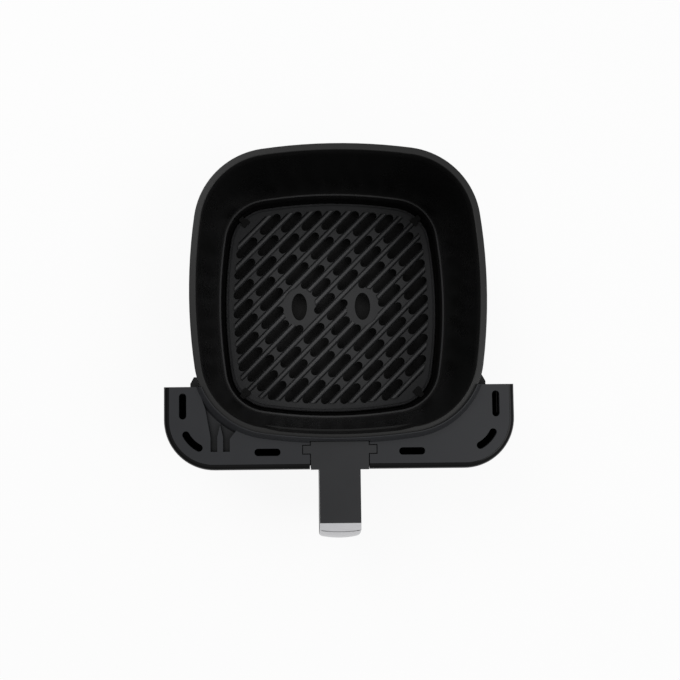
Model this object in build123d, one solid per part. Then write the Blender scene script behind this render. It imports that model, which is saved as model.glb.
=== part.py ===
from build123d import *
import os
from math import asin, atan2, degrees, hypot, radians, sqrt, tan

# Drawer of an air fryer, in millimetres: X to the right, Y to the back, Z up.
# The origin is the middle of the pan's base, on the surface that the pan rests on.

# Pan
rim_half = 123.2
rim_width = 5.8
rim_thickness = 4.0
rim_corner_radius = 66.0
rim_edge_radius = 1.2
rim_inner_radius = 0.9
side_bow_radius = 450.0
pan_height = 118.0
pan_wall = 2.0
pan_floor = 2.0
wall_draft = 4.6
step_height = 28.0
step_width = 1.5
step_corner_radius = 44.5
lower_draft = 4.0
floor_radius = 7.0
base_groove_inset = 14.0
base_groove_width = 7.0
base_groove_depth = 0.8

# Relief pressed outwards at the top of the pan's front wall, running out at both ends
relief_height = 16.0
relief_depth = 1.6
relief_half_width = 72.0
relief_end_radius = 240.0
relief_end_bulge = 4.0

# Crisper plate
plate_clearance = 1.4
plate_corner_radius = 40.0
plate_wall = 2.2
plate_edge_radius = 4.0
plate_height = 13.0
skirt_depth = 6.5
slot_pitch = 13.6
slot_rows = 18
slot_width = 8.0
slot_length = 27.0
slot_gap = 6.4
slot_border = 9.2
smallest_hole = 4.0
rib_width = 5.5
rib_height = 2.0
finger_hole_width = 15.6
finger_hole_length = 27.4
finger_hole_spacing = 63.4
finger_land_width = 33.5
finger_land_length = 39.0

# Silicone bumpers at the corners of the crisper plate
bumper_width = 8.5
bumper_depth = 9.0
bumper_land = 2.0
bumper_neck_width = 5.6
bumper_wall_gap = 0.3
bumper_head_height = 1.8
bumper_radius = 1.2
bumper_seat_clearance = 0.3
bumper_fit = 0.15

# Front panel
wing_reach = 22.4
front_reach = 25.3
rim_drop = 4.0
panel_corner_radius = 42.2
panel_bottom = 3.0
panel_wall = 2.5
wing_overlap = 44.0
top_roll = 5.1
bottom_roll = 5.0
lip_width = 4.0
lip_thickness = 2.2

# Top cover of the front panel
cover_thickness = 2.5
cover_gap = 0.15
collar_width = 3.6
collar_hook = 1.6
collar_skin = 0.7
collar_tip = 0.6
collar_fit = 0.3
vent_width = 6.1
vent_length = 21.5
side_vent_inset = 16.4
front_vent_inset = 15.0
corner_vent_inset = 16.0
side_vent_reach = 16.0
front_vent_x = 59.5

# Pair of troughs in the left wing of the cover
trough_width = 5.6
trough_inset = 39.3
trough_end_inset = 15.8
trough_depth = 4.0
trough_floor = 2.0
fin_width = 4.7
fin_length = 22.1
fin_taper = 10.0
flare_left = 4.2
flare_right = 8.6
flare_left_length = 12.0
flare_right_length = 10.6
flare_right_lead = 5.4

# Liner behind the fascia
liner_wall = 2.2
liner_clearance = 1.0
liner_fit = 0.2
liner_recess = 4.0
horn_offset = 1.8
horn_width = 6.7
horn_reach = 8.2
horn_chamfer = 3.0
horn_lead = 5.5
horn_drop = 12.0
horn_bottom = 20.0

# Bracket between the pan, the liner and the handle
bracket_sheet = 2.0
bracket_gap = 0.2
flange_half_width = 66.0
flange_height = 52.0
flange_drop = 20.0
flange_margin = 6.0
shelf_half_width = 44.0
shelf_gap = 5.5
shelf_drop = 28.0
gusset_spacing = 48.0
gusset_height = 26.0
pillar_spacing = 76.0
pillar_inset = 13.5
pillar_diameter = 9.0

# Handle
root_half_width = 23.8
root_length = 23.3
root_front_gap = 0.4
ear_length = 6.4
ear_width = 6.4
ear_inset = 16.9
cap_thickness = 3.0
cap_gap = 0.8
cap_reach = 43.0
bridge_thickness = 2.2
bridge_margin = 2.0
bridge_gap = 0.3
arm_half_width = 16.9
block_length = 20.5
grip_bottom = 25.0
grip_foot_half = 14.0
finger_room = 37.5
grip_lean = 1.5
knuckle_rise = 2.0
handle_reach = 62.0
knuckle_radius = 35.0
knuckle_turn = 80.0
grip_front_radius = 225.0
arm_fillet = 12.0
grip_edge_radius = 3.0
trim_edge = 2.2
trim_crown = 2.6
trim_edge_radius = 1.5
trim_gap = 0.15
seam_reach = 7.6
seam_radius = 54.0
seam_width = 0.6
seam_depth = 1.2

# Screws and nuts
screw_diameter = 4.0
screw_head_diameter = 7.5
screw_head_height = 2.2
screw_hole_clearance = 0.4
screw_head_chamfer = 0.6
nut_width = 7.0
nut_height = 3.2
handle_screw_spacing = 28.0
handle_screw_inset = 13.5
handle_screw_grip = 14.0
fascia_screw_inset = 8.0
fascia_screw_low = 20.0
fascia_screw_drop = 22.0
fascia_boss_length = 18.0
fascia_boss_diameter = 8.0
fascia_screw_length = 14.0
liner_screw_length = 14.0
cap_screw_spacing = 18.0
cap_screw_reach = 19.5
cap_screw_recess = 6.0
cap_boss_length = 6.0
trim_screw_rise = 21.0
trim_screw_spacing = 24.0
trim_boss_length = 6.0
trim_screw_length = 10.0
cap_screw_length = 16.0
boss_diameter = 7.0
boss_fit = 0.2

wall_slope = tan(radians(wall_draft))
wall_top_half = rim_half - rim_width
step_half = wall_top_half - (pan_height - step_height) * wall_slope
plate_top = pan_floor + plate_height
skirt_bottom = plate_top - skirt_depth
diagonal = sqrt(0.5)
well_slope = tan(radians(lower_draft))
well_half = step_half - step_width
well_corner = step_corner_radius - step_width
plate_half = well_half - (step_height - skirt_bottom) * well_slope - plate_clearance
panel_half_width = rim_half + wing_reach
panel_front = rim_half + front_reach
wing_back = rim_half - wing_overlap
side_vent_y = wing_back + side_vent_reach
trough_left = panel_half_width - trough_inset
trough_end = panel_front - trough_end_inset
fin_tip = trough_end - fin_length
horn_outer = rim_half + horn_offset
shelf_front = panel_front - shelf_gap
pillar_y = panel_front - pillar_inset
root_back = panel_front - root_length
ear_y = panel_front - ear_inset
cap_end = panel_front + cap_reach
block_back = panel_front - block_length
grip_back_top = panel_front + finger_room
grip_back_bottom = grip_back_top + grip_lean
knuckle_front = panel_front + handle_reach
handle_screw_y = panel_front - handle_screw_inset
cap_screw_y = panel_front + cap_screw_reach
panel_top = pan_height - rim_drop
collar_under = pan_height + collar_fit
collar_slope = (collar_under + collar_skin - panel_top) / (collar_width - collar_fit)
bridge_top = panel_top - cap_thickness
block_top = bridge_top - bridge_thickness
liner_bottom = panel_bottom + panel_wall
liner_top = panel_top - trough_depth - trough_floor - liner_fit
liner_back = wing_back + liner_recess
shelf_top = panel_top - shelf_drop
handle_screw_seat = shelf_top + handle_screw_grip
cap_screw_seat = shelf_top + cap_screw_recess
knuckle_height = shelf_top + knuckle_rise
trim_thickness = trim_edge + trim_crown + trim_gap
fascia_screw_heights = (fascia_screw_low, panel_top - fascia_screw_drop)
trim_screw_heights = (grip_bottom + trim_screw_rise, grip_bottom + trim_screw_rise + trim_screw_spacing)
tolerance = 0.01
past = 400.0

os.makedirs("parts", exist_ok=True)


def corner_layout(half, corner):
    """Side-arc centre distance, corner-arc centre and side half angle of a bowed square."""
    bow = side_bow_radius + half - rim_half
    reach = bow - half
    centre = (sqrt(2 * (bow - corner) ** 2 - reach**2) - reach) / 2
    return bow, reach, centre, degrees(atan2(centre, centre + reach))


def bowed_square(half, corner, z=0.0):
    """Rounded square with bowed sides, as eight tangent arcs."""
    bow, reach, centre, side = corner_layout(half, corner)
    arcs = []
    for turn in range(4):
        quarter = Rot(0, 0, 90 * turn)
        arcs.append(quarter * CenterArc((-reach, 0), bow, -side, 2 * side))
        arcs.append(quarter * CenterArc((centre, centre), corner, side, 90 - 2 * side))
    return Pos(0, 0, z) * make_face(arcs)


def front_run(half, corner):
    """Front half of a bowed square, from its left side round to its right side."""
    bow, reach, centre, side = corner_layout(half, corner)
    return Wire(
        [
            CenterArc((reach, 0), bow, 180, side),
            CenterArc((-centre, -centre), corner, 180 + side, 90 - 2 * side),
            CenterArc((0, reach), bow, 270 - side, 2 * side),
            CenterArc((centre, -centre), corner, 270 + side, 90 - 2 * side),
            CenterArc((-reach, 0), bow, 360 - side, side),
        ]
    )


def block(x_low, x_high, y_low, y_high, z_low, z_high):
    """Box between two corners."""
    middle = ((x_low + x_high) / 2, (y_low + y_high) / 2, (z_low + z_high) / 2)
    return Pos(*middle) * Box(x_high - x_low, y_high - y_low, z_high - z_low)


def wall_section(z, offset):
    """Inside of the pan's upper wall at a height, grown by an offset."""
    share = (z - step_height) / (pan_height - step_height)
    half = step_half + share * (wall_top_half - step_half)
    top_corner = rim_corner_radius - rim_width
    corner = step_corner_radius + share * (top_corner - step_corner_radius)
    return bowed_square(half + offset, corner + offset, z)


def wall_solid(offset, z_low, z_high):
    """Everything within the pan's upper wall, grown by an offset, between two heights."""
    return loft([wall_section(z_low, offset), wall_section(z_high, offset)], ruled=True)


def well_inset(z):
    """How far the pan's lower part has drawn in at a height, below its step."""
    return (step_height - z) * well_slope


def well_solid(offset, z_low, radius):
    """Lower part of the pan, from its step down to a rounded bottom edge."""
    grow = offset - well_inset(z_low)
    top = bowed_square(well_half + offset, well_corner + offset, step_height)
    foot = bowed_square(well_half + grow, well_corner + grow, z_low)
    well = loft([foot, top], ruled=True)
    return fillet(well.edges().group_by(Axis.Z)[0], radius)


def relief_solid(offset, low, high):
    """Space within the relief in the pan's front wall, grown by an offset, between two heights."""
    top = relief_end_radius + offset - (pan_height - high) * wall_slope
    ends = Cone(top - (high - low) * wall_slope, top, high - low)
    middle = (0, relief_end_radius - wall_top_half - relief_end_bulge, (low + high) / 2)
    space = wall_solid(relief_depth + offset, low, high) & Pos(*middle) * ends
    return space & block(-relief_half_width, relief_half_width, -past, -rim_half / 2, 0, past)


def make_pan():
    rim_low = pan_height - rim_thickness
    rim = extrude(bowed_square(rim_half, rim_corner_radius, rim_low), rim_thickness)
    rim = fillet(rim.edges().group_by(Axis.Z)[0] + rim.edges().group_by(Axis.Z)[-1], rim_edge_radius)
    outside = wall_solid(pan_wall, step_height - pan_wall, pan_height)
    outside += well_solid(pan_wall, 0, floor_radius + pan_wall) + rim
    pan = outside - wall_solid(0, step_height, pan_height) - well_solid(0, pan_floor, floor_radius)
    rim_top = pan.faces().filter_by(Axis.Z).sort_by(Axis.Z)[-1]
    pan = fillet(rim_top.inner_wires()[0].edges(), rim_inner_radius)
    relief_low = pan_height - relief_height
    bulge = relief_solid(pan_wall, relief_low - pan_wall, pan_height - rim_thickness / 2)
    pan += bulge - wall_solid(pan_wall / 2, step_height, pan_height)
    pan -= relief_solid(0, relief_low, pan_height)
    groove_half = step_half - step_width - floor_radius - base_groove_inset
    groove_corner = step_corner_radius - floor_radius
    groove = bowed_square(groove_half, groove_corner)
    groove -= bowed_square(groove_half - base_groove_width, groove_corner - base_groove_width)
    return pan - extrude(groove, base_groove_depth)


def in_slot_field(x, y):
    """Whether a point lies within the slotted part of the crisper plate."""
    half = plate_half - slot_border
    corner = plate_corner_radius - slot_border
    bow, reach, centre, side = corner_layout(half, corner)
    far, near = max(abs(x), abs(y)), min(abs(x), abs(y))
    if degrees(atan2(near - centre, far - centre)) > side and near > centre:
        return hypot(far - centre, near - centre) < corner
    return hypot(far + reach, near) < bow


def row_half_length(offset):
    """Half the length of a diagonal row across the slot field, found by halving."""
    low, high = 0.0, 2 * plate_half
    while high - low > tolerance:
        middle = (low + high) / 2
        if in_slot_field((middle + offset) * diagonal, (middle - offset) * diagonal):
            low = middle
        else:
            high = middle
    return low


def hole_crossing(offset, hole_x):
    """Stretch of a diagonal row that the clear land round a finger hole takes up."""
    across = finger_land_width / 2
    along = finger_land_length / 2
    square = 0.5 / across**2 + 0.5 / along**2
    linear = 2 * diagonal * (offset * diagonal - hole_x) / across**2 - offset / along**2
    rest = ((offset * diagonal - hole_x) / across) ** 2 + (offset * diagonal / along) ** 2 - 1
    root = linear**2 - 4 * square * rest
    if root <= 0:
        return None
    return (-linear - sqrt(root)) / (2 * square), (-linear + sqrt(root)) / (2 * square)


def corner_distance(half, corner):
    """Distance of a bowed square's rounded corners from its middle."""
    bow, reach, centre, side = corner_layout(half, corner)
    return centre / diagonal + corner


def row_spans(offset):
    """Free stretches of a diagonal row, clear of the border, bumpers and finger holes."""
    reach = row_half_length(offset)
    clear = corner_distance(plate_half, plate_corner_radius) - bumper_depth - slot_gap
    land = bumper_width / 2 + bumper_land
    if abs(offset) + slot_width / 2 > clear:
        return [(-reach, -land), (land, reach)]
    if abs(offset) - slot_width / 2 < land:
        reach = min(reach, clear)
    spans = [(-reach, reach)]
    for hole_x in (-finger_hole_spacing / 2, finger_hole_spacing / 2):
        crossing = hole_crossing(offset, hole_x)
        if crossing:
            start, end = spans.pop()
            spans += [(start, crossing[0]), (crossing[1], end)]
    return spans


def row_slots(offset):
    """Slots of one diagonal row, spread evenly over its free stretches."""
    slots = []
    for start, end in row_spans(offset):
        count = max(1, round((end - start + slot_gap) / (slot_length + slot_gap)))
        length = (end - start + slot_gap) / count - slot_gap
        if length < smallest_hole:
            continue
        hole = SlotOverall(length, slot_width) if length > slot_width else Circle(length / 2)
        for index in range(count):
            middle = start + length / 2 + index * (length + slot_gap)
            slots.append(Rot(0, 0, 45) * Pos(middle, -offset) * hole)
    return slots


def make_ribs():
    """Round-topped ribs between the rows of slots, with sloping ends."""
    radius = (rib_width**2 / 4 + rib_height**2) / (2 * rib_height)
    axis_height = plate_top + rib_height - radius
    bars = Part()
    for row in range(slot_rows - 1):
        offset = (row + 1 - slot_rows / 2) * slot_pitch
        bar = Rot(0, 90, 0) * Cylinder(radius, 4 * plate_half)
        bars += Rot(0, 0, 45) * Pos(0, -offset, axis_height) * bar
    field = bowed_square(plate_half - slot_border, plate_corner_radius - slot_border, plate_top)
    land = Ellipse(finger_land_width / 2, finger_land_length / 2)
    for side in (-1, 1):
        field -= Pos(side * finger_hole_spacing / 2, 0, plate_top) * land
    return bars & extrude(field, rib_height)


def corner_place(turn):
    """Outer corner of the crisper plate's edge, with X pointing outwards."""
    return Rot(0, 0, 45 + 90 * turn) * Pos(corner_distance(plate_half, plate_corner_radius), 0, 0)


def make_crisper_plate():
    plate = extrude(bowed_square(plate_half, plate_corner_radius, skirt_bottom), skirt_depth)
    plate = fillet(plate.edges().group_by(Axis.Z)[-1], plate_edge_radius)
    inner_corner = plate_corner_radius - plate_wall
    underside = bowed_square(plate_half - plate_wall, inner_corner, skirt_bottom)
    hollow = extrude(underside, skirt_depth - plate_wall)
    plate -= fillet(hollow.edges().group_by(Axis.Z)[-1], plate_edge_radius - plate_wall)
    plate += make_ribs()
    cuts = Sketch()
    for row in range(slot_rows):
        cuts += row_slots((row + 0.5 - slot_rows / 2) * slot_pitch)
    finger_hole = Ellipse(finger_hole_width / 2, finger_hole_length / 2)
    for side in (-1, 1):
        cuts += Pos(side * finger_hole_spacing / 2, 0) * finger_hole
    plate -= extrude(cuts, past)
    notch_width = bumper_neck_width + 2 * bumper_fit
    notch_depth = bumper_depth - bumper_head_height
    for turn in range(4):
        plate -= corner_place(turn) * block(-notch_depth, past, -notch_width / 2, notch_width / 2, 0, past)
    return plate


def make_bumper(turn):
    """Corner foot, pushed into a notch in the plate, with a lip above and a body below."""
    foot = pan_floor + bumper_seat_clearance
    under = plate_top - plate_wall - bumper_fit
    half = bumper_width / 2
    neck = bumper_neck_width / 2
    skirt_inside = -plate_edge_radius - bumper_fit
    body = block(-bumper_depth, skirt_inside, -half, half, foot, under)
    body = fillet(body.edges().filter_by(Axis.Z), bumper_radius)
    shank_back = -bumper_depth + bumper_head_height + bumper_fit
    shank_low = pan_floor + floor_radius
    drawn = well_inset(shank_low)
    wall = corner_distance(well_half - drawn, well_corner - drawn)
    nose = wall - corner_distance(plate_half, plate_corner_radius) - bumper_wall_gap
    shank = block(shank_back, nose, -neck, neck, shank_low, plate_top + bumper_head_height)
    shank = fillet(shank.edges().filter_by(Axis.Z).group_by(Axis.X)[-1], bumper_radius)
    head_low = plate_top + bumper_fit
    head = block(-bumper_depth, skirt_inside, -half, half, head_low, plate_top + bumper_head_height)
    head = fillet(head.edges().filter_by(Axis.Z), bumper_radius)
    return corner_place(turn) * (body + shank + head)


def side_plane():
    """Plane across the left wing's back edge, with X pointing into the panel."""
    return Plane((-panel_half_width, -wing_back, 0), x_dir=(1, 0, 0), z_dir=(0, -1, 0))


def panel_run(inset):
    """Run round the front panel's outside, from wing to wing, moved inwards by an inset."""
    half = panel_half_width - inset
    front = panel_front - inset
    corners = [(-half, -wing_back), (-half, -front), (half, -front), (half, -wing_back)]
    return FilletPolyline(*corners, radius=panel_corner_radius - inset)


def panel_area(inset, z):
    """Plan area of the front panel within an inset, open to the wings' back edges."""
    run = panel_run(inset)
    return Pos(0, 0, z) * make_face([run, Line(run @ 1, run @ 0)])


def in_front(solid):
    """Part of a solid in front of the wings' back edges."""
    return solid & block(-past, past, -past, -wing_back, -past, past)


def corner_rectangle(x_low, x_high, z_low, z_high):
    """Flat rectangle between two corners."""
    return Pos((x_low + x_high) / 2, (z_low + z_high) / 2) * Rectangle(x_high - x_low, z_high - z_low)


def fascia_section():
    """Section of the fascia: a wall rolled in at top and bottom, with a lip for the cover."""
    depth = top_roll + lip_width
    outer = corner_rectangle(0, depth, panel_bottom, panel_top)
    edge = outer.vertices().group_by(Axis.X)[0].sort_by(Axis.Y)
    outer = fillet(edge[1], top_roll)
    edge = outer.vertices().group_by(Axis.X)[0].sort_by(Axis.Y)
    outer = fillet(edge[0], bottom_roll)
    inner = corner_rectangle(panel_wall, past, panel_bottom + panel_wall, panel_top - panel_wall)
    edge = inner.vertices().group_by(Axis.X)[0].sort_by(Axis.Y)
    inner = fillet(edge[1], top_roll - panel_wall)
    edge = inner.vertices().group_by(Axis.X)[0].sort_by(Axis.Y)
    inner = fillet(edge[0], bottom_roll - panel_wall)
    seat = panel_top - cover_thickness
    section = outer - inner - corner_rectangle(top_roll, past, seat, past)
    return section + corner_rectangle(panel_wall, depth, seat - lip_thickness, seat)


def fascia_bosses(diameter, start, length):
    """Four rods along Y, where the fascia takes its screws behind the wings."""
    rods = Part()
    for side in (-1, 1):
        for height in fascia_screw_heights:
            x = side * (panel_half_width - fascia_screw_inset)
            rod = Rot(90, 0, 0) * Cylinder(diameter / 2, length)
            rods += Pos(x, -liner_back - start - length / 2, height) * rod
    return rods


def make_fascia():
    fascia = sweep(side_plane() * fascia_section(), panel_run(0))
    start = liner_wall + liner_fit
    bosses = fascia_bosses(fascia_boss_diameter, start, fascia_boss_length)
    for side in (-1, 1):
        outer = side * (panel_half_width - panel_wall / 2)
        inner = side * (panel_half_width - fascia_screw_inset)
        for height in fascia_screw_heights:
            low, high = sorted((outer, inner))
            web = (height - panel_wall / 2, height + panel_wall / 2)
            bosses += block(low, high, -liner_back - start - fascia_boss_length, -liner_back - start, *web)
    fascia += bosses - fascia_bosses(screw_diameter + screw_hole_clearance, 0, fascia_boss_length)
    gap = root_half_width + cap_gap
    return fascia - block(-gap, gap, -past, -panel_front + top_roll + lip_width, shelf_top - cap_gap, past)


def vents():
    """Six slots along the cover, parallel to the outside of the panel."""
    slots = Sketch()
    side_x = panel_half_width - side_vent_inset
    front_y = panel_front - front_vent_inset
    radius = panel_corner_radius - corner_vent_inset
    turn = degrees((vent_length - vent_width) / radius)
    for side in (-1, 1):
        slots += Pos(side * side_x, -side_vent_y) * SlotOverall(vent_length, vent_width, rotation=90)
        slots += Pos(side * front_vent_x, -front_y) * SlotOverall(vent_length, vent_width)
        centre = (side * (panel_half_width - panel_corner_radius), panel_corner_radius - panel_front)
        slots += SlotArc(CenterArc(centre, radius, 270 + side * 45 - turn / 2, turn), vent_width)
    return slots


def trough_area(grow):
    """Plan of both troughs with their flared mouths, grown sideways and at the end."""
    left = trough_left + grow
    right = trough_left - 2 * trough_width - fin_width - grow
    wide_y = liner_back + liner_wall + liner_fit
    narrow_y = trough_end - flare_left_length
    lead_y = trough_end - flare_right_length
    points = [
        (-left, -trough_end - grow),
        (-left, -narrow_y),
        (-left - flare_left, -wide_y - flare_left_length),
        (-left - 2 * flare_left, -wide_y),
        (-right + flare_right, -wide_y),
        (-right + flare_right, -lead_y + 2 * flare_right_lead),
        (-right + flare_right / 2, -lead_y + flare_right_lead),
        (-right, -lead_y),
        (-right, -trough_end - grow),
    ]
    return make_face(Polyline(*points, close=True))


def fin_area():
    """Plan of the pointed fin between the troughs."""
    left = trough_left - trough_width
    right = left - fin_width
    tip = ((-left - right) / 2, -fin_tip)
    shoulder = fin_tip + fin_taper
    points = [(-left, -trough_end), (-left, -shoulder), tip, (-right, -shoulder), (-right, -trough_end)]
    return make_face(Polyline(*points, close=True))


def cap_area(grow):
    """T-shaped plan of the handle's top where it lies in the panel, with its ears."""
    front = panel_front - root_front_gap
    half = root_half_width + grow
    ear = root_half_width + ear_length + grow
    area = corner_rectangle(-half, half, -front - grow, -root_back + grow)
    return area + Pos(0, -ear_y) * Rectangle(2 * ear, ear_width + 2 * grow)


def rim_square(grow, z):
    """Outline of the pan's rim, grown by an offset, at a height."""
    return bowed_square(rim_half + grow, rim_corner_radius + grow, z)


def make_collar():
    """Slope up from the cover all round, hooked over the pan's rim at its top."""
    low = panel_top - cover_thickness
    inner = collar_tip - collar_hook
    peak = panel_top + collar_slope * (collar_width - inner)
    collar = loft([rim_square(collar_width, panel_top), rim_square(inner, peak)], ruled=True)
    collar += extrude(rim_square(collar_width, low), cover_thickness)
    collar -= extrude(rim_square(collar_fit, low), collar_under - low)
    return collar - extrude(rim_square(-collar_hook, collar_under), past)


def make_ramp():
    """Collar's slope where it runs on down to the floor of the troughs."""
    floor = panel_top - trough_depth
    foot = collar_width + trough_depth / collar_slope
    slope = loft([rim_square(foot, floor), rim_square(collar_width, panel_top)], ruled=True)
    return slope & extrude(Pos(0, 0, floor) * (trough_area(0) - rim_square(0, 0)), trough_depth)


def make_cover():
    top = panel_top - cover_thickness
    floor = panel_top - trough_depth
    inset = top_roll + cover_gap
    inside = rim_square(collar_fit, 0)
    cover = extrude(panel_area(inset, top) - rim_square(collar_width, top), cover_thickness)
    cover += in_front(make_collar())
    tray = (trough_area(trough_floor) - inside) & panel_area(inset + lip_width, 0)
    cover += extrude(Pos(0, 0, floor - trough_floor) * tray, trough_floor + top - floor)
    troughs = trough_area(0) - fin_area() - rim_square(collar_width, 0)
    cover -= extrude(Pos(0, 0, floor) * troughs, trough_depth)
    cover += make_ramp() - extrude(inside, past)
    ledge = root_half_width + ear_length + cap_gap + bridge_margin
    front = panel_front - top_roll - lip_width - cover_gap
    bridge = block(-ledge, ledge, -front, -wall_top_half, block_top, top)
    bridge += block(-root_half_width, root_half_width, -panel_front + inset, -front, block_top, top)
    cover += bridge - extrude(inside, past)
    cover -= extrude(Pos(0, 0, bridge_top) * cap_area(cap_gap), past)
    access = screw_head_diameter + 2 * screw_hole_clearance
    cover -= handle_rods(access, shelf_top, past)
    return cover - extrude(vents(), past)


def paired_rods(spacing, y, diameter, low, high):
    """Two upright rods, left and right of the middle."""
    rod = Cylinder(diameter / 2, high - low)
    height = (low + high) / 2
    return Pos(-spacing / 2, -y, height) * rod + Pos(spacing / 2, -y, height) * rod


def handle_rods(diameter, low, high):
    """Two upright rods on the axes of the handle's screws."""
    return paired_rods(handle_screw_spacing, handle_screw_y, diameter, low, high)


def pillar_rods(diameter, low, high):
    """Two upright rods on the axes of the liner's pillars."""
    return paired_rods(pillar_spacing, pillar_y, diameter, low, high)


def cap_rods(diameter, low, high):
    """Two upright rods on the axes of the screws under the handle's arm."""
    return paired_rods(cap_screw_spacing, cap_screw_y, diameter, low, high)


def hugging_wall(offset, low, high):
    """Everything within a wall that follows the pan at an offset, between two heights."""
    upper = wall_solid(offset, step_height, high)
    return upper + extrude(wall_section(step_height, offset), low - step_height)


def make_liner():
    near = pan_wall + liner_clearance
    inner = hugging_wall(near, liner_bottom, liner_top)
    wall = in_front(hugging_wall(near + liner_wall, liner_bottom, liner_top) - inner)
    window = flange_half_width + flange_margin
    window_low = pan_height - flange_drop - flange_height - flange_margin
    wall -= block(-window, window, -past, -rim_half / 2, window_low, past)
    floor = extrude(panel_area(bottom_roll, liner_bottom), liner_wall)
    half = panel_half_width - panel_wall - liner_fit
    back = block(-half, half, -liner_back - liner_wall, -liner_back, liner_bottom, liner_top)
    back = fillet(back.edges().filter_by(Axis.Y).group_by(Axis.Z)[0], bottom_roll)
    liner = wall + (floor + back - inner)
    for side in (-1, 1):
        liner += horn(side)
    shelf_low = shelf_top - bracket_sheet
    liner += pillar_rods(pillar_diameter, liner_bottom, shelf_low)
    liner -= pillar_rods(screw_diameter + screw_hole_clearance, shelf_low - fascia_boss_length, shelf_low)
    return liner - fascia_bosses(screw_diameter + screw_hole_clearance, 0, liner_wall)


def horn(side):
    """Guide horn behind a wing, with a slanted lead-in."""
    inner = horn_outer - horn_width
    back = wing_back - horn_reach
    points = [
        (side * inner, -liner_back),
        (side * horn_outer, -liner_back),
        (side * horn_outer, -back - horn_lead),
        (side * (horn_outer - horn_chamfer), -back),
        (side * inner, -back),
    ]
    plan = Pos(0, 0, horn_bottom) * make_face(Polyline(*points, close=True))
    return extrude(plan, panel_top - horn_drop - horn_bottom, dir=(0, 0, 1))


def make_bracket():
    near = pan_wall + bracket_gap
    high = pan_height - flange_drop
    low = high - flange_height
    flange = wall_solid(near + bracket_sheet, low, high) - wall_solid(near, low, high)
    flange &= block(-flange_half_width, flange_half_width, -past, 0, low, high)
    shelf_low = shelf_top - bracket_sheet
    shelf = block(-shelf_half_width, shelf_half_width, -shelf_front, 0, shelf_low, shelf_top)
    shelf = fillet(shelf.edges().filter_by(Axis.Z).group_by(Axis.Y)[0], bracket_sheet)
    for side in (-1, 1):
        middle = side * gusset_spacing / 2
        toe = (-rim_half, shelf_low - gusset_height)
        points = [(-shelf_front, shelf_low), (0, shelf_low), (0, low), toe]
        gusset = Plane.YZ.offset(middle - bracket_sheet / 2) * make_face(Polyline(*points, close=True))
        shelf += extrude(gusset, bracket_sheet, dir=(1, 0, 0))
    bracket = flange + (shelf - wall_solid(near + bracket_sheet / 2, step_height, pan_height))
    hole = screw_diameter + screw_hole_clearance
    return bracket - handle_rods(hole, 0, past) - pillar_rods(hole, 0, past)


def seat_arcs():
    """Curve that the silver front sits on: a long, gentle bow below a tight knuckle."""
    knuckle = knuckle_radius - trim_thickness
    bow = grip_front_radius - trim_thickness
    front = knuckle_front - trim_thickness
    low_angle = degrees(asin((knuckle_height - grip_bottom) / bow))
    lower = CenterArc((front - bow, knuckle_height), bow, -low_angle, low_angle)
    upper = CenterArc((front - knuckle, knuckle_height), knuckle, 0, knuckle_turn)
    return lower, upper


def seat_depth_at(height):
    """Distance of the silver front's seat from the pan's middle, below the knuckle."""
    bow = grip_front_radius - trim_thickness
    return knuckle_front - grip_front_radius + sqrt(bow**2 - (knuckle_height - height) ** 2)


def over_seat(point):
    """Height of a point of the silver front over the curve that it sits on."""
    if point.Z < knuckle_height:
        return -point.Y - seat_depth_at(point.Z)
    away = hypot(-point.Y - knuckle_front + knuckle_radius, point.Z - knuckle_height)
    return away - knuckle_radius + trim_thickness


def grip_rods(diameter, start, end):
    """Rods along Y behind the silver front, from and to distances before its seat."""
    rods = Part()
    for height in trim_screw_heights:
        seat = seat_depth_at(height)
        middle = Pos(0, -seat + (start + end) / 2, height) * Rot(90, 0, 0)
        rods += middle * Cylinder(diameter / 2, start - end)
    return rods


def handle_side():
    """Plane of the handle's side view, with X pointing forwards and Y up."""
    return Plane((0, 0, 0), x_dir=(0, -1, 0), z_dir=(-1, 0, 0))


def grip_cheeks():
    """Wedges beside the grip, which narrows from the arm down to its foot."""
    narrow = [(arm_half_width, shelf_top), (grip_foot_half, grip_bottom)]
    points = narrow + [(past, grip_bottom), (past, shelf_top)]
    wedge = extrude(Plane.XZ * make_face(Polyline(*points, close=True)), past, both=True)
    return wedge + mirror(wedge, Plane.YZ)


def trim_seat(height):
    """Distance of the seat for a trim screw's head from the pan's middle."""
    return seat_depth_at(height) - trim_screw_length - trim_gap


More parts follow.
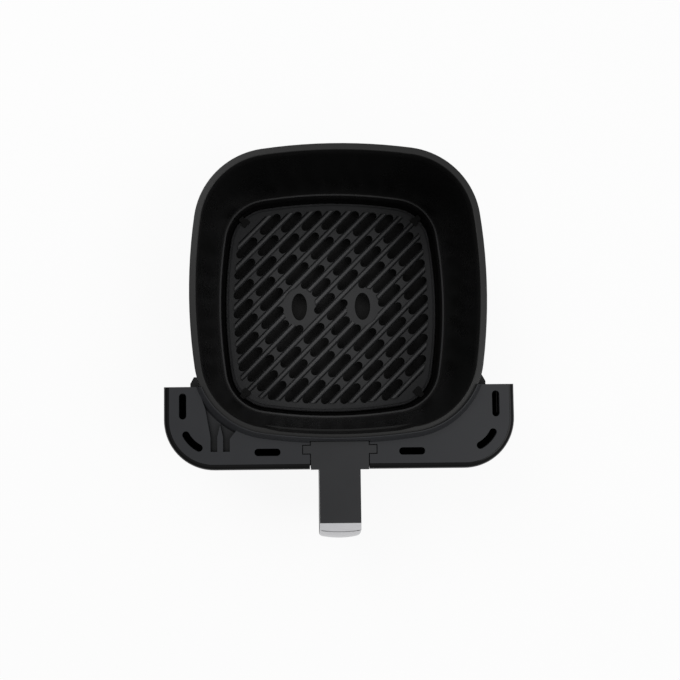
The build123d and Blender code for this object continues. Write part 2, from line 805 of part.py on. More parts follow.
def make_handle_body():
    lower, upper = seat_arcs()
    front = panel_front - root_front_gap
    crown = upper @ 1
    corners = [crown, (grip_back_top, crown.Y), (grip_back_top, shelf_top), (grip_back_bottom, grip_bottom)]
    grip = make_face([lower, upper, Polyline(*corners, lower @ 0)])
    side = grip + corner_rectangle(front, grip_back_top, shelf_top, bridge_top)
    side -= corner_rectangle(0, past, bridge_top, past)
    elbow = side.vertices().sort_by_distance((grip_back_top, shelf_top))[0]
    side = fillet(elbow, arm_fillet)
    heel = side.vertices().sort_by_distance((grip_back_bottom, grip_bottom))[0]
    side = fillet(heel, grip_edge_radius)
    arm = extrude(handle_side() * side, arm_half_width, both=True) - grip_cheeks()
    rounded = [
        edge
        for edge in arm.edges()
        if abs(edge.center().X) > grip_foot_half - tolerance
        and edge.center().Z < shelf_top + tolerance
        and -edge.center().Y < grip_back_bottom + tolerance
    ]
    arm = fillet(rounded, grip_edge_radius)
    half = root_half_width
    root = block(-half, half, -front, -block_back, shelf_top, block_top - bridge_gap)
    step = -panel_front + top_roll
    root += block(-half, half, -front, step, shelf_top, bridge_top)
    body = root + arm
    hole = screw_diameter + screw_hole_clearance
    recess = screw_head_diameter + 2 * screw_hole_clearance
    body -= handle_rods(hole, 0, past) + handle_rods(recess, handle_screw_seat, past)
    body -= cap_rods(hole, 0, past) + cap_rods(recess, 0, cap_screw_seat)
    body -= cap_rods(boss_diameter + 2 * boss_fit, bridge_top - cap_boss_length - boss_fit, past)
    body -= grip_rods(hole, knuckle_front - panel_front, 0)
    body -= grip_rods(boss_diameter + 2 * boss_fit, trim_boss_length + boss_fit, -trim_edge)
    for height in trim_screw_heights:
        reach = trim_seat(height) - panel_front
        body -= Pos(0, -panel_front - reach / 2, height) * Rot(90, 0, 0) * Cylinder(recess / 2, reach)
    return body


def make_handle_cap():
    plan = cap_area(0) + corner_rectangle(-arm_half_width, arm_half_width, -cap_end, -root_back)
    cap = extrude(Pos(0, 0, bridge_top) * plan, cap_thickness)
    cap += cap_rods(boss_diameter, bridge_top - cap_boss_length, bridge_top)
    hole = screw_diameter + screw_hole_clearance
    return cap - cap_rods(hole, bridge_top - cap_boss_length, bridge_top)


def make_handle_trim():
    lower, upper = seat_arcs()
    plane = handle_side()
    path = Wire([plane * lower, plane * upper])
    section_plane = Plane(path @ 0, x_dir=(-1, 0, 0), z_dir=path % 0)
    half = arm_half_width
    edge = trim_gap + trim_edge
    base = Polyline((-half, edge), (-half, trim_gap), (half, trim_gap), (half, edge))
    crown = ThreePointArc((half, edge), (0, edge + trim_crown), (-half, edge))
    trim = sweep(section_plane * make_face([base, crown]), path) - grip_cheeks()
    top_start = cap_end + trim_gap
    trim -= block(-past, past, -top_start, past, knuckle_height, past)
    trim -= block(-past, past, -past, past, panel_top, past)
    top_end = top_start + trim_edge
    trim += block(-half, half, -top_end, -top_start, bridge_top + trim_gap, panel_top)
    rounded = [
        edge
        for edge in trim.edges()
        if abs(edge.center().X) > grip_foot_half - tolerance
        and over_seat(edge.center()) > trim_gap + trim_edge - trim_edge_radius / 2
        and grip_bottom + tolerance < edge.center().Z < panel_top - tolerance
    ]
    trim = fillet(rounded, trim_edge_radius)
    seam = Circle(seam_radius + seam_width / 2) - Circle(seam_radius - seam_width / 2)
    seam_y = seam_radius - cap_end - seam_reach
    trim -= extrude(Pos(0, seam_y, panel_top - seam_depth) * seam, past)
    trim += grip_rods(boss_diameter, trim_boss_length, -trim_gap - trim_edge / 2)
    return trim - grip_rods(screw_diameter + screw_hole_clearance, trim_boss_length, 0)


def screw(length):
    """Pan-head screw pointing down, with its head's underside at the origin."""
    head = Pos(0, 0, screw_head_height / 2) * Cylinder(screw_head_diameter / 2, screw_head_height)
    head = chamfer(head.edges().sort_by(Axis.Z)[-1], screw_head_chamfer)
    return head + Pos(0, 0, -length / 2) * Cylinder(screw_diameter / 2, length)


def make_handle_screws():
    length = handle_screw_seat - shelf_top + bracket_sheet + nut_height
    x = handle_screw_spacing / 2
    return [Pos(side * x, -handle_screw_y, handle_screw_seat) * screw(length) for side in (-1, 1)]


def make_liner_screws():
    x = pillar_spacing / 2
    return [Pos(side * x, -pillar_y, shelf_top) * screw(liner_screw_length) for side in (-1, 1)]


def make_fascia_screws():
    screws = []
    for side in (-1, 1):
        for height in fascia_screw_heights:
            place = Pos(side * (panel_half_width - fascia_screw_inset), -liner_back, height)
            screws.append(place * Rot(-90, 0, 0) * screw(fascia_screw_length))
    return screws


def make_cap_screws():
    x = cap_screw_spacing / 2
    turned = Rot(180, 0, 0) * screw(cap_screw_length)
    return [Pos(side * x, -cap_screw_y, cap_screw_seat) * turned for side in (-1, 1)]


def make_trim_screws():
    screws = []
    for height in trim_screw_heights:
        place = Pos(0, -trim_seat(height), height)
        screws.append(place * Rot(-90, 0, 0) * screw(trim_screw_length))
    return screws


def make_bracket_nuts():
    top = shelf_top - bracket_sheet
    hexagon = RegularPolygon(nut_width / 2, 6, major_radius=False)
    hexagon -= Circle((screw_diameter + screw_hole_clearance) / 2)
    nut = extrude(hexagon, -nut_height)
    x = handle_screw_spacing / 2
    return [Pos(side * x, -handle_screw_y, top) * nut for side in (-1, 1)]


pieces = {
    "pan": make_pan(),
    "crisper_plate": make_crisper_plate(),
    "front_fascia": make_fascia(),
    "front_cover": make_cover(),
    "front_liner": make_liner(),
    "pan_bracket": make_bracket(),
    "bracket_nuts": Compound(make_bracket_nuts()),
    "handle_body": make_handle_body(),
    "handle_cap": make_handle_cap(),
    "handle_trim": make_handle_trim(),
    "handle_screws": Compound(make_handle_screws()),
    "liner_screws": Compound(make_liner_screws()),
    "fascia_screws": Compound(make_fascia_screws()),
    "cap_screws": Compound(make_cap_screws()),
    "trim_screws": Compound(make_trim_screws()),
}
for turn, name in enumerate(("back_right", "back_left", "front_left", "front_right")):
    pieces["bumper_" + name] = make_bumper(turn)
for name, piece in pieces.items():
    export_step(piece, "parts/" + name + ".step")
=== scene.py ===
import math

import bmesh
import bpy
from mathutils import Matrix, Vector


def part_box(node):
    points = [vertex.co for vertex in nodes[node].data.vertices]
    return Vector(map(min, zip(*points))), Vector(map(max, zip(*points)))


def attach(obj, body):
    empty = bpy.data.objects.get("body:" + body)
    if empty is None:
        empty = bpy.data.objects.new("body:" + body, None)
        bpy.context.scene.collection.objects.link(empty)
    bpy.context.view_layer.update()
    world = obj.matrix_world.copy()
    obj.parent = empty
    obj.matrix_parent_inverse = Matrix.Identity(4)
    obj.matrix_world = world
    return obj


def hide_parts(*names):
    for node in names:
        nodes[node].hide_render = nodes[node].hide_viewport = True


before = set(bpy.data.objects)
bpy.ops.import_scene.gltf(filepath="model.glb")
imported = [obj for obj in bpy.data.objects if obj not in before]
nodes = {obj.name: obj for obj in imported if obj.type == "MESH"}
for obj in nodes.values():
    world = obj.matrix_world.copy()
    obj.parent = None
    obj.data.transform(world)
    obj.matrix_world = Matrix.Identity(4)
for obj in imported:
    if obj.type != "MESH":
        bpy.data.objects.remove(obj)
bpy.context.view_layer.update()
scene = bpy.context.scene

# Photograph's viewpoint, in metres and degrees
EYE = Vector((-0.03422, -0.07908, 0.588))
EYE_TILT = 2.369
EYE_LEAN = -0.149
EYE_ROLL = -0.562
LENS = 30.367
SENSOR = 36.0
SHIFT_X = 0.06053
SHIFT_Y = 0.03243
NEAREST_SEEN = 0.01

# Pale floor: half its width in metres, its grey, and how far it looks plain white
FLOOR_HALF = 4.0
FLOOR_GREY = (0.85, 0.85, 0.85, 1.0)
FLOOR_WHITENESS = 0.9

# Middle of the bright ceiling as a direction, how it fades, and each lamp's place, size and power
CEILING = Vector((0.25, 0.0, 1.0))
CEILING_FACING = (0.1, 0.8)
CEILING_STRENGTH = (0.2, 0.8)
LAMPS = (
    ("lamp_back_left", (-0.7, 0.8, 1.3), 0.9, 6.5),
    ("lamp_right", (0.9, -0.3, 1.4), 0.8, 4.5),
)

# Range that most of a noise falls in
NOISE_RANGE = (0.3, 0.7)

# Moulded grain: its finer layer, its patches from handling per metre, and its relief
FINER_GRAIN = 2.6
FINER_GRAIN_SHARE = 0.5
HANDLED_PATCHES = 26.0
GRAIN_STRENGTH = 0.35

# Coating: its wiped patches and groups of flecks per metre, the flecks' soft edge, and its relief
WIPED_PATCHES = 18.0
FLECK_GROUPS = 300.0
FLECK_GROUP_RANGE = (0.52, 0.66)
FLECK_EDGE = (0.08, 0.2)
PEEL_STRENGTH = 0.3

# Drawn metal: its lines' depth in metres, their relief and how dark they get
LINE_DEPTH = 0.00004
LINE_STRENGTH = 0.2
LINE_SHADE = 0.9

# Pan's floor, step with its painted highlight and rim with its painted sheen: heights in metres, added
# dullness and colours
PAN_FLOOR = (0.009, 0.017)
PAN_FLOOR_DULLNESS = 0.45
STEP_START = (0.0268, 0.0274)
STEP_END = (0.0286, 0.0292)
STEP_FACING = (0.6, 0.9)
STEP_HIGHLIGHT_COLOUR = (0.04, 0.04, 0.041)
RIM_BAND = (0.109, 0.1165)
RIM_DULLNESS = 0.08
RIM_SHEEN_COLOUR = (0.0105, 0.0105, 0.0105)

# Plate's ribs and rolled edge: heights in metres, how far each faces up, and the colour of their
# painted highlight
RIB_HEIGHT = 0.002
RIB_ROOT = (0.0001, 0.0002)
CREST_BAND = (0.00025, 0.00005)
CREST_HIGHLIGHT = 0.6
EDGE_FACING = (0.35, 0.6)
EDGE_TILT = (0.9, 0.97)
PLATE_HIGHLIGHT_COLOUR = (0.05, 0.05, 0.052)

# Cover's troughs and the pocket between them and the collar, in metres, with the colour of the painted
# shade in the troughs
TROUGH_DEPTH = 0.004
TROUGH_FLOOR_EDGE = 0.0005
TROUGH_TOP_EDGE = 0.0003
TROUGH_SHADE_COLOUR = (0.0035, 0.0037, 0.0042)
POCKET_FADE = (-0.126, -0.106)
POCKET_SHARE = 0.55

# Grip that the silver front sits on, in metres
ARM_HALF = 0.0169
GRIP_FOOT_HALF = 0.014
GRIP_FOOT = 0.025
GRIP_SHOULDER = 0.086
GRIP_FOOT_CLEARANCE = 0.00005
KNUCKLE_HEIGHT = 0.088
KNUCKLE_MIDDLE = -0.1755
KNUCKLE_SEAT = 0.0302
BOW_MIDDLE = 0.0145
BOW_SEAT = 0.2202

# Silver front's seam, in metres, and the share of the knuckle where the seam's slope begins
SEAM_DEPTH = -0.1987
SEAM_HALF = 0.0003
SEAM_CROWN = 0.0013
SEAM_SLOPE = 0.0032
SEAM_SLOPE_START = 0.4

# Silver front's flat top plate, in metres, with its rows, and its columns along the flat and each side
PLATE_FOOT = 0.11115
PLATE_FOOT_REACH = -0.00325
PLATE_SIDE_ROUND = 0.0004
PLATE_SIDE_SETBACK = 0.0
PLATE_ROWS = 4
PLATE_COLUMNS = (16, 3)

# Silver front's bow, in metres, with its rows at knuckle, bow and foot, and its columns
BULGE_HEIGHT = 0.078
BULGE_CROWN = 0.0025
KNUCKLE_RISE = 0.050
BOW_RADIUS = 0.160
FOOT_ROUND = 0.0018
SIDE_ROUND = 0.0030
SIDE_SETBACK = 0.0012
KNUCKLE_ROWS = 14
BOW_ROWS = 18
FOOT_ROWS = 5
BOW_COLUMNS = (18, 6)

# Edges of the silver front that stay sharp, in degrees
SHARP_EDGE = 35.0


def start_group(name, inputs, outputs):
    """Effect group with named number sockets and its input and output nodes."""
    group = bpy.data.node_groups.new(name, "ShaderNodeTree")
    for label, value in inputs.items():
        socket = group.interface.new_socket(label, in_out="INPUT", socket_type="NodeSocketFloat")
        socket.default_value = value
    for label in outputs:
        group.interface.new_socket(label, in_out="OUTPUT", socket_type="NodeSocketFloat")
    source = group.nodes.new("NodeGroupInput")
    sink = group.nodes.new("NodeGroupOutput")
    return group, source, sink


def feed(tree, value, socket):
    """Number or socket led into a socket."""
    if isinstance(value, (int, float)):
        socket.default_value = value
    else:
        tree.links.new(value, socket)


def noise(tree, vector, scale, detail, roughness=0.5):
    """Noise texture on a vector."""
    node = tree.nodes.new("ShaderNodeTexNoise")
    tree.links.new(vector, node.inputs["Vector"])
    feed(tree, scale, node.inputs["Scale"])
    node.inputs["Detail"].default_value = detail
    node.inputs["Roughness"].default_value = roughness
    return node.outputs["Fac"]


def math_node(tree, operation, first, second):
    """Math node on numbers or sockets."""
    node = tree.nodes.new("ShaderNodeMath")
    node.operation = operation
    feed(tree, first, node.inputs[0])
    feed(tree, second, node.inputs[1])
    return node.outputs[0]


def remap(tree, value, low, high, to_low, to_high):
    """Value moved from one range to another, held within it."""
    node = tree.nodes.new("ShaderNodeMapRange")
    tree.links.new(value, node.inputs["Value"])
    ends = {"From Min": low, "From Max": high, "To Min": to_low, "To Max": to_high}
    for name, number in ends.items():
        feed(tree, number, node.inputs[name])
    return node.outputs["Result"]


def mix_colours(tree, share, first, second):
    """Two colours mixed by a share."""
    node = tree.nodes.new("ShaderNodeMix")
    node.data_type = "RGBA"
    tree.links.new(share, node.inputs["Factor"])
    for name, colour in (("A", first), ("B", second)):
        socket = next(s for s in node.inputs if s.name == name and s.type == "RGBA")
        if isinstance(colour, tuple):
            socket.default_value = (*colour, 1.0)
        else:
            tree.links.new(colour, socket)
    return next(s for s in node.outputs if s.type == "RGBA")


def object_place(tree):
    """Object coordinates."""
    return tree.nodes.new("ShaderNodeTexCoord").outputs["Object"]


def split_axes(tree, vector):
    """X, Y and Z of a vector."""
    node = tree.nodes.new("ShaderNodeSeparateXYZ")
    tree.links.new(vector, node.inputs[0])
    return node.outputs


def facing_up(tree):
    """How far a surface faces up."""
    return split_axes(tree, tree.nodes.new("ShaderNodeNewGeometry").outputs["Normal"])["Z"]


def zone_by_height(tree, band, low, high):
    """Value that changes across a band of height."""
    return remap(tree, split_axes(tree, object_place(tree))["Z"], *band, low, high)


def vary_roughness(group, source, value):
    """Roughness between a group's low and high ends, led by a noise."""
    ends = source.outputs["Low Roughness"], source.outputs["High Roughness"]
    return remap(group, value, *NOISE_RANGE, *ends)


def make_moulded_grain():
    """Spark-eroded grain of moulded plastic, with faint patches from handling."""
    group, source, sink = start_group(
        "moulded_grain",
        {"Grain": 1500.0, "Low Roughness": 0.4, "High Roughness": 0.55},
        ("Height", "Roughness", "Patches"),
    )
    place = object_place(group)
    coarse = noise(group, place, source.outputs["Grain"], detail=2.0)
    finer = math_node(group, "MULTIPLY", source.outputs["Grain"], FINER_GRAIN)
    fine = noise(group, place, finer, detail=1.0)
    fine = math_node(group, "MULTIPLY", fine, FINER_GRAIN_SHARE)
    patches = noise(group, place, HANDLED_PATCHES, detail=4.0, roughness=0.6)
    group.links.new(math_node(group, "ADD", coarse, fine), sink.inputs["Height"])
    group.links.new(vary_roughness(group, source, patches), sink.inputs["Roughness"])
    group.links.new(patches, sink.inputs["Patches"])
    return group


def make_coating_peel():
    """Sprayed non-stick coating: a soft orange peel, pinhead flecks and wiped patches."""
    group, source, sink = start_group(
        "coating_peel",
        {"Peel": 420.0, "Flecks": 900.0, "Low Roughness": 0.2, "High Roughness": 0.3},
        ("Height", "Roughness", "Flecks"),
    )
    place = object_place(group)
    peel = noise(group, place, source.outputs["Peel"], detail=2.0, roughness=0.55)
    dots = group.nodes.new("ShaderNodeTexVoronoi")
    group.links.new(place, dots.inputs["Vector"])
    group.links.new(source.outputs["Flecks"], dots.inputs["Scale"])
    fleck = remap(group, dots.outputs["Distance"], *FLECK_EDGE, 1.0, 0.0)
    sparse = noise(group, place, FLECK_GROUPS, detail=1.0)
    sparse = remap(group, sparse, *FLECK_GROUP_RANGE, 0.0, 1.0)
    wiped = noise(group, place, WIPED_PATCHES, detail=3.0, roughness=0.6)
    group.links.new(peel, sink.inputs["Height"])
    group.links.new(vary_roughness(group, source, wiped), sink.inputs["Roughness"])
    group.links.new(math_node(group, "MULTIPLY", fleck, sparse), sink.inputs["Flecks"])
    return group


def make_drawn_metal():
    """Fine lines left by rolling or brushing along one axis."""
    group, source, sink = start_group(
        "drawn_metal",
        {"Across": 2200.0, "Along": 60.0, "Low Roughness": 0.25, "High Roughness": 0.4},
        ("Height", "Roughness"),
    )
    axes = split_axes(group, object_place(group))
    drawn = group.nodes.new("ShaderNodeCombineXYZ")
    for axis, stretch in (("X", "Along"), ("Y", "Across"), ("Z", "Across")):
        stretched = math_node(group, "MULTIPLY", axes[axis], source.outputs[stretch])
        group.links.new(stretched, drawn.inputs[axis])
    lines = noise(group, drawn.outputs[0], scale=1.0, detail=3.0, roughness=0.6)
    group.links.new(lines, sink.inputs["Height"])
    group.links.new(vary_roughness(group, source, lines), sink.inputs["Roughness"])
    return group


moulded_grain = make_moulded_grain()
coating_peel = make_coating_peel()
drawn_metal = make_drawn_metal()


def start_material(name):
    """New material, its node tree and its Principled shader."""
    material = bpy.data.materials.new(name)
    material.use_nodes = True
    return material, material.node_tree, material.node_tree.nodes["Principled BSDF"]


def place_group(tree, group, rough, **values):
    """Effect group in a material, with its range of roughness and its own values."""
    node = tree.nodes.new("ShaderNodeGroup")
    node.node_tree = group
    node.inputs["Low Roughness"].default_value, node.inputs["High Roughness"].default_value = rough
    for name, value in values.items():
        node.inputs[name].default_value = value
    return node.outputs


def bump(tree, shader, height, distance, strength):
    """Height turned into the shader's normal."""
    node = tree.nodes.new("ShaderNodeBump")
    node.inputs["Distance"].default_value = distance
    node.inputs["Strength"].default_value = strength
    tree.links.new(height, node.inputs["Height"])
    tree.links.new(node.outputs["Normal"], shader.inputs["Normal"])


def black_plastic(name, colour, lighter, rough, grain, depth, shine):
    """Grained black plastic with slight patches."""
    material, tree, shader = start_material(name)
    shader.inputs["Specular IOR Level"].default_value = shine
    skin = place_group(tree, moulded_grain, rough, Grain=grain)
    share = remap(tree, skin["Patches"], *NOISE_RANGE, 0.0, 1.0)
    tree.links.new(mix_colours(tree, share, colour, lighter), shader.inputs["Base Color"])
    tree.links.new(skin["Roughness"], shader.inputs["Roughness"])
    bump(tree, shader, skin["Height"], depth, GRAIN_STRENGTH)
    return material


def black_coating(name, colour, fleck, rough, peel, depth, shine):
    """Black non-stick coating over metal."""
    material, tree, shader = start_material(name)
    shader.inputs["Specular IOR Level"].default_value = shine
    skin = place_group(tree, coating_peel, rough, Peel=peel)
    tree.links.new(mix_colours(tree, skin["Flecks"], colour, fleck), shader.inputs["Base Color"])
    tree.links.new(skin["Roughness"], shader.inputs["Roughness"])
    bump(tree, shader, skin["Height"], depth, PEEL_STRENGTH)
    return material


def drawn_steel(name, colour, rough, metallic):
    """Drawn or brushed metal."""
    material, tree, shader = start_material(name)
    shader.inputs["Metallic"].default_value = metallic
    skin = place_group(tree, drawn_metal, rough)
    shade = remap(tree, skin["Height"], *NOISE_RANGE, 0.0, 1.0)
    darker = tuple(LINE_SHADE * c for c in colour)
    tree.links.new(mix_colours(tree, shade, darker, colour), shader.inputs["Base Color"])
    tree.links.new(skin["Roughness"], shader.inputs["Roughness"])
    bump(tree, shader, skin["Height"], LINE_DEPTH, LINE_STRENGTH)
    return material


def surface_of(material):
    """A finished material's node tree, its colour so far and its shader's inputs."""
    inputs = material.node_tree.nodes["Principled BSDF"].inputs
    return material.node_tree, inputs["Base Color"].links[0].from_socket, inputs


def zone_pan(material):
    """Dull floor under the plate, a painted highlight on the step and a satin rim made paler by a
    painted sheen, on the pan's coating.
    """
    tree, coat, inputs = surface_of(material)
    rough = inputs["Roughness"].links[0].from_socket
    floor = zone_by_height(tree, PAN_FLOOR, PAN_FLOOR_DULLNESS, 0.0)
    rough = math_node(tree, "ADD", rough, floor)
    rough = math_node(tree, "ADD", rough, zone_by_height(tree, RIM_BAND, 0.0, RIM_DULLNESS))
    tree.links.new(rough, inputs["Roughness"])
    # Painted highlight: a paler colour on the up-facing step between two heights
    level = remap(tree, facing_up(tree), *STEP_FACING, 0.0, 1.0)
    above = zone_by_height(tree, STEP_START, 0.0, 1.0)
    below = zone_by_height(tree, STEP_END, 1.0, 0.0)
    lit_share = math_node(tree, "MULTIPLY", level, math_node(tree, "MULTIPLY", above, below))
    coat = mix_colours(tree, lit_share, coat, STEP_HIGHLIGHT_COLOUR)
    # Painted sheen: the rim band's colour made paler
    rim = zone_by_height(tree, RIM_BAND, 0.0, 1.0)
    tree.links.new(mix_colours(tree, rim, coat, RIM_SHEEN_COLOUR), inputs["Base Color"])


def paint_plate_highlights(material, crest):
    """Painted highlight on the plate's rib crests and rolled edge: a paler colour by height and by how
    far the surface faces up.
    """
    tree, coat, inputs = surface_of(material)
    ground = crest - RIB_HEIGHT
    up = facing_up(tree)
    # Painted highlight on the rolled edge, where the surface is tilted part way up
    level = remap(tree, up, *EDGE_FACING, 0.0, 1.0)
    tilted = remap(tree, up, *EDGE_TILT, 1.0, 0.0)
    below_ribs = zone_by_height(tree, [ground + rise for rise in RIB_ROOT], 1.0, 0.0)
    rolled = math_node(tree, "MULTIPLY", math_node(tree, "MULTIPLY", level, tilted), below_ribs)
    # Painted highlight along the rib crests
    ridge = zone_by_height(tree, [crest - drop for drop in CREST_BAND], 0.0, CREST_HIGHLIGHT)
    highlighted = math_node(tree, "MAXIMUM", ridge, rolled)
    tree.links.new(mix_colours(tree, highlighted, coat, PLATE_HIGHLIGHT_COLOUR), inputs["Base Color"])


def shade_troughs(material, top):
    """Painted shade in the cover's troughs, darker than its top, fading out towards the collar."""
    tree, skin, inputs = surface_of(material)
    # Painted shade: the dark colour below the cover's top, lifted part way across the pocket
    band = (top - TROUGH_DEPTH + TROUGH_FLOOR_EDGE, top - TROUGH_TOP_EDGE)
    lit_share = zone_by_height(tree, band, 0.0, 1.0)
    depth = split_axes(tree, object_place(tree))["Y"]
    pocket = remap(tree, depth, *POCKET_FADE, 0.0, POCKET_SHARE)
    share = math_node(tree, "MAXIMUM", lit_share, pocket)
    tree.links.new(mix_colours(tree, share, TROUGH_SHADE_COLOUR, skin), inputs["Base Color"])


pan_coating = black_coating(
    "pan_coating", colour=(0.0035, 0.0035, 0.0035), fleck=(0.016, 0.016, 0.016),
    rough=(0.24, 0.32), peel=380.0, depth=0.00005, shine=0.28)
zone_pan(pan_coating)
plate_coating = black_coating(
    "plate_coating", colour=(0.0112, 0.0116, 0.0129), fleck=(0.04, 0.04, 0.043),
    rough=(0.46, 0.56), peel=520.0, depth=0.00008, shine=0.42)
paint_plate_highlights(plate_coating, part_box("crisper_plate")[1].z)
cover_plastic = black_plastic(
    "cover_plastic", colour=(0.0215, 0.0223, 0.0247), lighter=(0.0245, 0.0253, 0.0280),
    rough=(0.4, 0.5), grain=1700.0, depth=0.00006, shine=0.2)
shade_troughs(cover_plastic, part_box("handle_trim")[1].z)
fascia_plastic = black_plastic(
    "fascia_plastic", colour=(0.002, 0.002, 0.0022), lighter=(0.003, 0.003, 0.0033),
    rough=(0.10, 0.16), grain=700.0, depth=0.00001, shine=0.125)
liner_plastic = black_plastic(
    "liner_plastic", colour=(0.010, 0.010, 0.0105), lighter=(0.014, 0.014, 0.0145),
    rough=(0.5, 0.65), grain=1200.0, depth=0.00005, shine=0.2)
handle_plastic = black_plastic(
    "handle_plastic", colour=(0.0085, 0.009, 0.0105), lighter=(0.0115, 0.012, 0.0138),
    rough=(0.42, 0.5), grain=1900.0, depth=0.00005, shine=0.36)
silicone = black_plastic(
    "silicone", colour=(0.002, 0.002, 0.002), lighter=(0.004, 0.004, 0.004),
    rough=(0.6, 0.75), grain=900.0, depth=0.00005, shine=0.2)
silver_paint = drawn_steel("silver_paint", (0.58, 0.58, 0.595), rough=(0.3, 0.4), metallic=0.75)
zinc_steel = drawn_steel("zinc_steel", (0.55, 0.55, 0.53), rough=(0.3, 0.45), metallic=1.0)

finishes = {
    "pan": pan_coating,
    "crisper_plate": plate_coating,
    "front_fascia": fascia_plastic,
    "front_cover": cover_plastic,
    "front_liner": liner_plastic,
    "handle_body": handle_plastic,
    "handle_cap": handle_plastic,
    "handle_trim": silver_paint,
}
for name, node in nodes.items():
    if name.startswith("bumper"):
        finish = silicone
    else:
        finish = finishes.get(name, zinc_steel)
    node.data.materials.clear()
    node.data.materials.append(finish)


def smooth_by_angle(mesh, degrees):
    """Smooth shading with the sharper edges kept."""
    mesh.polygons.foreach_set("use_smooth", [True] * len(mesh.polygons))
    mesh.set_sharp_from_angle(angle=math.radians(degrees))


def grip_half(height):
    """Half the grip's width at a height: even along the arm, then narrowing to the foot."""
    share = min(max((height - GRIP_FOOT) / (GRIP_SHOULDER - GRIP_FOOT), 0.0), 1.0)
    return GRIP_FOOT_HALF + share * (ARM_HALF - GRIP_FOOT_HALF)


def seat_at(height):
    """Depth of the silver front's back at a height, just clear of the grip."""
    drop = height - KNUCKLE_HEIGHT
    if drop > 0.0:
        return KNUCKLE_MIDDLE - math.sqrt(KNUCKLE_SEAT**2 - drop**2)
    return BOW_MIDDLE - math.sqrt(BOW_SEAT**2 - drop**2)


def shell_columns(flat, turns):
    """Columns across a shell: an even middle, then a quarter turn at each side."""
    middle = [(-1.0 + 2.0 * step / flat, 0.0) for step in range(flat + 1)]
    left = [(-1.0, -90.0 + 90.0 * step / turns) for step in range(turns)]
    right = [(1.0, 90.0 * step / turns) for step in range(1, turns + 1)]
    return [(share, math.radians(turn)) for share, turn in left + middle + right]


def add_shell(shape, rows, columns, side, setback):
    """Closed shell, rounded at its sides.

    A row is the front's depth, height and crown, then the back's depth and height.
    """
    last_column = len(columns) - 1
    last_row = len(rows) - 1
    made = bmesh.ops.create_grid(shape, x_segments=last_column, y_segments=last_row, size=1.0)
    front = made["verts"]
    faces = list(dict.fromkeys(face for vert in front for face in vert.link_faces))
    raised = bmesh.ops.extrude_face_region(shape, geom=faces, use_keep_orig=True)["geom"]
    back = [item for item in raised if isinstance(item, bmesh.types.BMVert)]
    for verts, is_front in ((front, True), (back, False)):
        for vert in verts:
            share, turn = columns[round((vert.co.x + 1.0) / 2.0 * last_column)]
            row = rows[round((1.0 - vert.co.y) / 2.0 * last_row)]
            depth, height, crown = row[:3] if is_front else (*row[3:], 0.0)
            half = grip_half(height)
            across = share * (half - side) + side * math.sin(turn)
            if is_front:
                depth += crown * (across / half) ** 2 + setback * (1.0 - math.cos(turn))
            vert.co = (across, depth, height)


def top_plate_rows(high):
    """Flat top plate of the silver front, from the arm's end to the seam."""
    rows = []
    for step in range(PLATE_ROWS + 1):
        share = step / PLATE_ROWS
        depth = high.y + share * (SEAM_DEPTH + SEAM_HALF - high.y)
        behind = high.y + share * PLATE_FOOT_REACH
        rows.append((depth, high.z, share * SEAM_CROWN, behind, PLATE_FOOT))
    return rows


def bow_outline(low, high, foot):
    """Depths and heights down the middle of the bowed front: knuckle, bow and rounded foot."""
    steep = math.asin((high.z - BULGE_HEIGHT) / KNUCKLE_RISE)
    run = (SEAM_DEPTH - SEAM_HALF - low.y) / (1.0 - math.cos(steep))
    line = []
    for step in range(KNUCKLE_ROWS + 1):
        angle = steep * (1.0 - step / KNUCKLE_ROWS)
        height = BULGE_HEIGHT + KNUCKLE_RISE * math.sin(angle)
        line.append((low.y + run * (1.0 - math.cos(angle)), height))
    lowest = foot + FOOT_ROUND
    heights = []
    for step in range(1, BOW_ROWS + 1):
        heights.append((BULGE_HEIGHT + (lowest - BULGE_HEIGHT) * step / BOW_ROWS, 0.0))
    for step in range(1, FOOT_ROWS + 1):
        turn = math.radians(90.0 * step / FOOT_ROWS)
        heights.append((lowest - FOOT_ROUND * math.sin(turn), FOOT_ROUND * (1.0 - math.cos(turn))))
    for height, inset in heights:
        line.append((low.y + (BULGE_HEIGHT - height) ** 2 / (2.0 * BOW_RADIUS) + inset, height))
    return line


def bowed_front_rows(low, high, foot):
    """Bowed front below the seam, fullest below the knuckle, with its back on the grip."""
    rows = []
    for depth, height in bow_outline(low, high, foot):
        share = min(max((height - BULGE_HEIGHT) / (high.z - BULGE_HEIGHT), 0.0), 1.0)
        crown = BULGE_CROWN + share * (SEAM_CROWN - BULGE_CROWN)
        slope = max(share - SEAM_SLOPE_START, 0.0) / (1.0 - SEAM_SLOPE_START)
        back_height = height - SEAM_SLOPE * slope**2
        rows.append((depth, height, crown, seat_at(back_height), back_height))
    return rows


def shape_silver_front():
    """Silver front of the grip: a flat top plate and a bowed front, with a seam between them."""
    low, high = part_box("handle_trim")
    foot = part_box("handle_body")[0].z + GRIP_FOOT_CLEARANCE
    plate = top_plate_rows(high)
    bow = bowed_front_rows(low, high, foot)
    shape = bmesh.new()
    add_shell(shape, plate, shell_columns(*PLATE_COLUMNS), PLATE_SIDE_ROUND, PLATE_SIDE_SETBACK)
    add_shell(shape, bow, shell_columns(*BOW_COLUMNS), SIDE_ROUND, SIDE_SETBACK)
    bmesh.ops.recalc_face_normals(shape, faces=shape.faces)
    mesh = bpy.data.meshes.new("silver_front")
    shape.to_mesh(mesh)
    shape.free()
    smooth_by_angle(mesh, SHARP_EDGE)
    mesh.materials.append(silver_paint)
    piece = bpy.data.objects.new("silver_front", mesh)
    scene.collection.objects.link(piece)
    even = piece.modifiers.new("even_normals", "WEIGHTED_NORMAL")
    even.keep_sharp = True
    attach(piece, "drawer")
    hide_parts("handle_trim")


shape_silver_front()


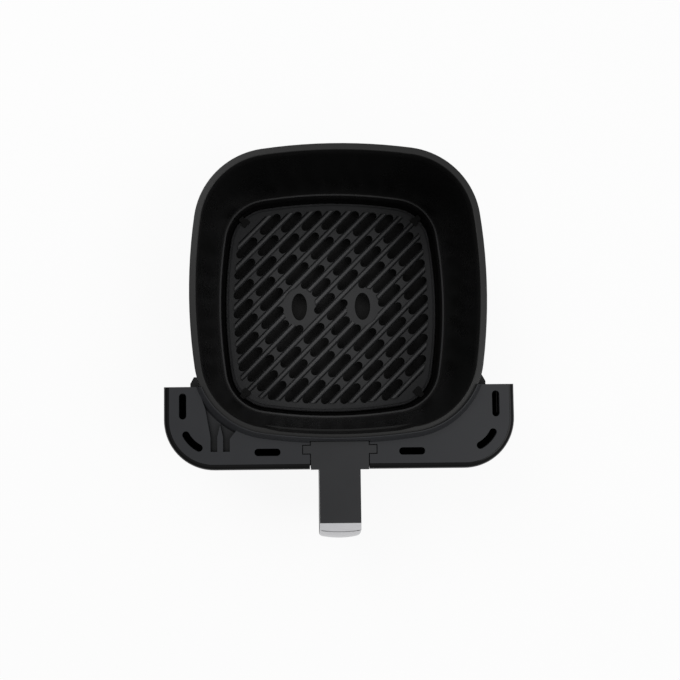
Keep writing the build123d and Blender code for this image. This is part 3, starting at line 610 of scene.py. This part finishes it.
def paint_floor():
    """Pale paint that looks white and keeps a faint shadow."""
    material = bpy.data.materials.new("floor_white")
    material.use_nodes = True
    tree = material.node_tree
    tree.nodes.clear()
    out = tree.nodes.new("ShaderNodeOutputMaterial")
    matt = tree.nodes.new("ShaderNodeBsdfDiffuse")
    matt.inputs["Color"].default_value = FLOOR_GREY
    glow = tree.nodes.new("ShaderNodeEmission")
    glow.inputs["Strength"].default_value = 1.0
    rays = tree.nodes.new("ShaderNodeLightPath")
    seen = math_node(tree, "MAXIMUM", rays.outputs["Is Camera Ray"], rays.outputs["Is Glossy Ray"])
    seen = math_node(tree, "MAXIMUM", seen, rays.outputs["Is Transmission Ray"])
    blend = tree.nodes.new("ShaderNodeMixShader")
    tree.links.new(math_node(tree, "MULTIPLY", seen, FLOOR_WHITENESS), blend.inputs[0])
    tree.links.new(matt.outputs[0], blend.inputs[1])
    tree.links.new(glow.outputs[0], blend.inputs[2])
    tree.links.new(blend.outputs[0], out.inputs["Surface"])
    return material


def lay_floor():
    """Pale floor under the drawer."""
    mesh = bpy.data.meshes.new("floor")
    shape = bmesh.new()
    bmesh.ops.create_grid(shape, x_segments=1, y_segments=1, size=FLOOR_HALF)
    shape.to_mesh(mesh)
    shape.free()
    floor = bpy.data.objects.new("floor", mesh)
    scene.collection.objects.link(floor)
    mesh.materials.append(paint_floor())


def light_room():
    """Bright ceiling that fades towards the horizon, and two large soft lamps."""
    world = bpy.data.worlds.new("studio")
    scene.world = world
    world.use_nodes = True
    tree = world.node_tree
    back = tree.nodes["Background"]
    back.inputs["Color"].default_value = (1.0, 1.0, 1.0, 1.0)
    facing = tree.nodes.new("ShaderNodeVectorMath")
    facing.operation = "DOT_PRODUCT"
    tree.links.new(tree.nodes.new("ShaderNodeNewGeometry").outputs["Incoming"], facing.inputs[0])
    facing.inputs[1].default_value = -CEILING.normalized()
    ceiling = remap(tree, facing.outputs["Value"], *CEILING_FACING, *CEILING_STRENGTH)
    rays = tree.nodes.new("ShaderNodeLightPath")
    strength = math_node(tree, "MAXIMUM", ceiling, rays.outputs["Is Camera Ray"])
    tree.links.new(strength, back.inputs["Strength"])
    for name, place, size, power in LAMPS:
        data = bpy.data.lights.new(name, "AREA")
        data.shape = "DISK"
        data.size = size
        data.energy = power
        lamp = bpy.data.objects.new(name, data)
        scene.collection.objects.link(lamp)
        lamp.location = place
        lamp.rotation_euler = (-Vector(place)).to_track_quat("-Z", "Y").to_euler()


def set_camera():
    """Camera above the drawer, at the photograph's viewpoint."""
    data = bpy.data.cameras.new("camera")
    camera = bpy.data.objects.new("camera", data)
    scene.collection.objects.link(camera)
    data.sensor_width = SENSOR
    data.lens = LENS
    data.shift_x = SHIFT_X
    data.shift_y = SHIFT_Y
    data.clip_start = NEAREST_SEEN
    tilt = Matrix.Rotation(math.radians(EYE_TILT), 4, "X")
    lean = Matrix.Rotation(math.radians(EYE_LEAN), 4, "Y")
    roll = Matrix.Rotation(math.radians(EYE_ROLL), 4, "Z")
    camera.matrix_world = Matrix.Translation(EYE) @ tilt @ lean @ roll
    scene.camera = camera


lay_floor()
light_room()
set_camera()
scene.view_settings.view_transform = "Standard"
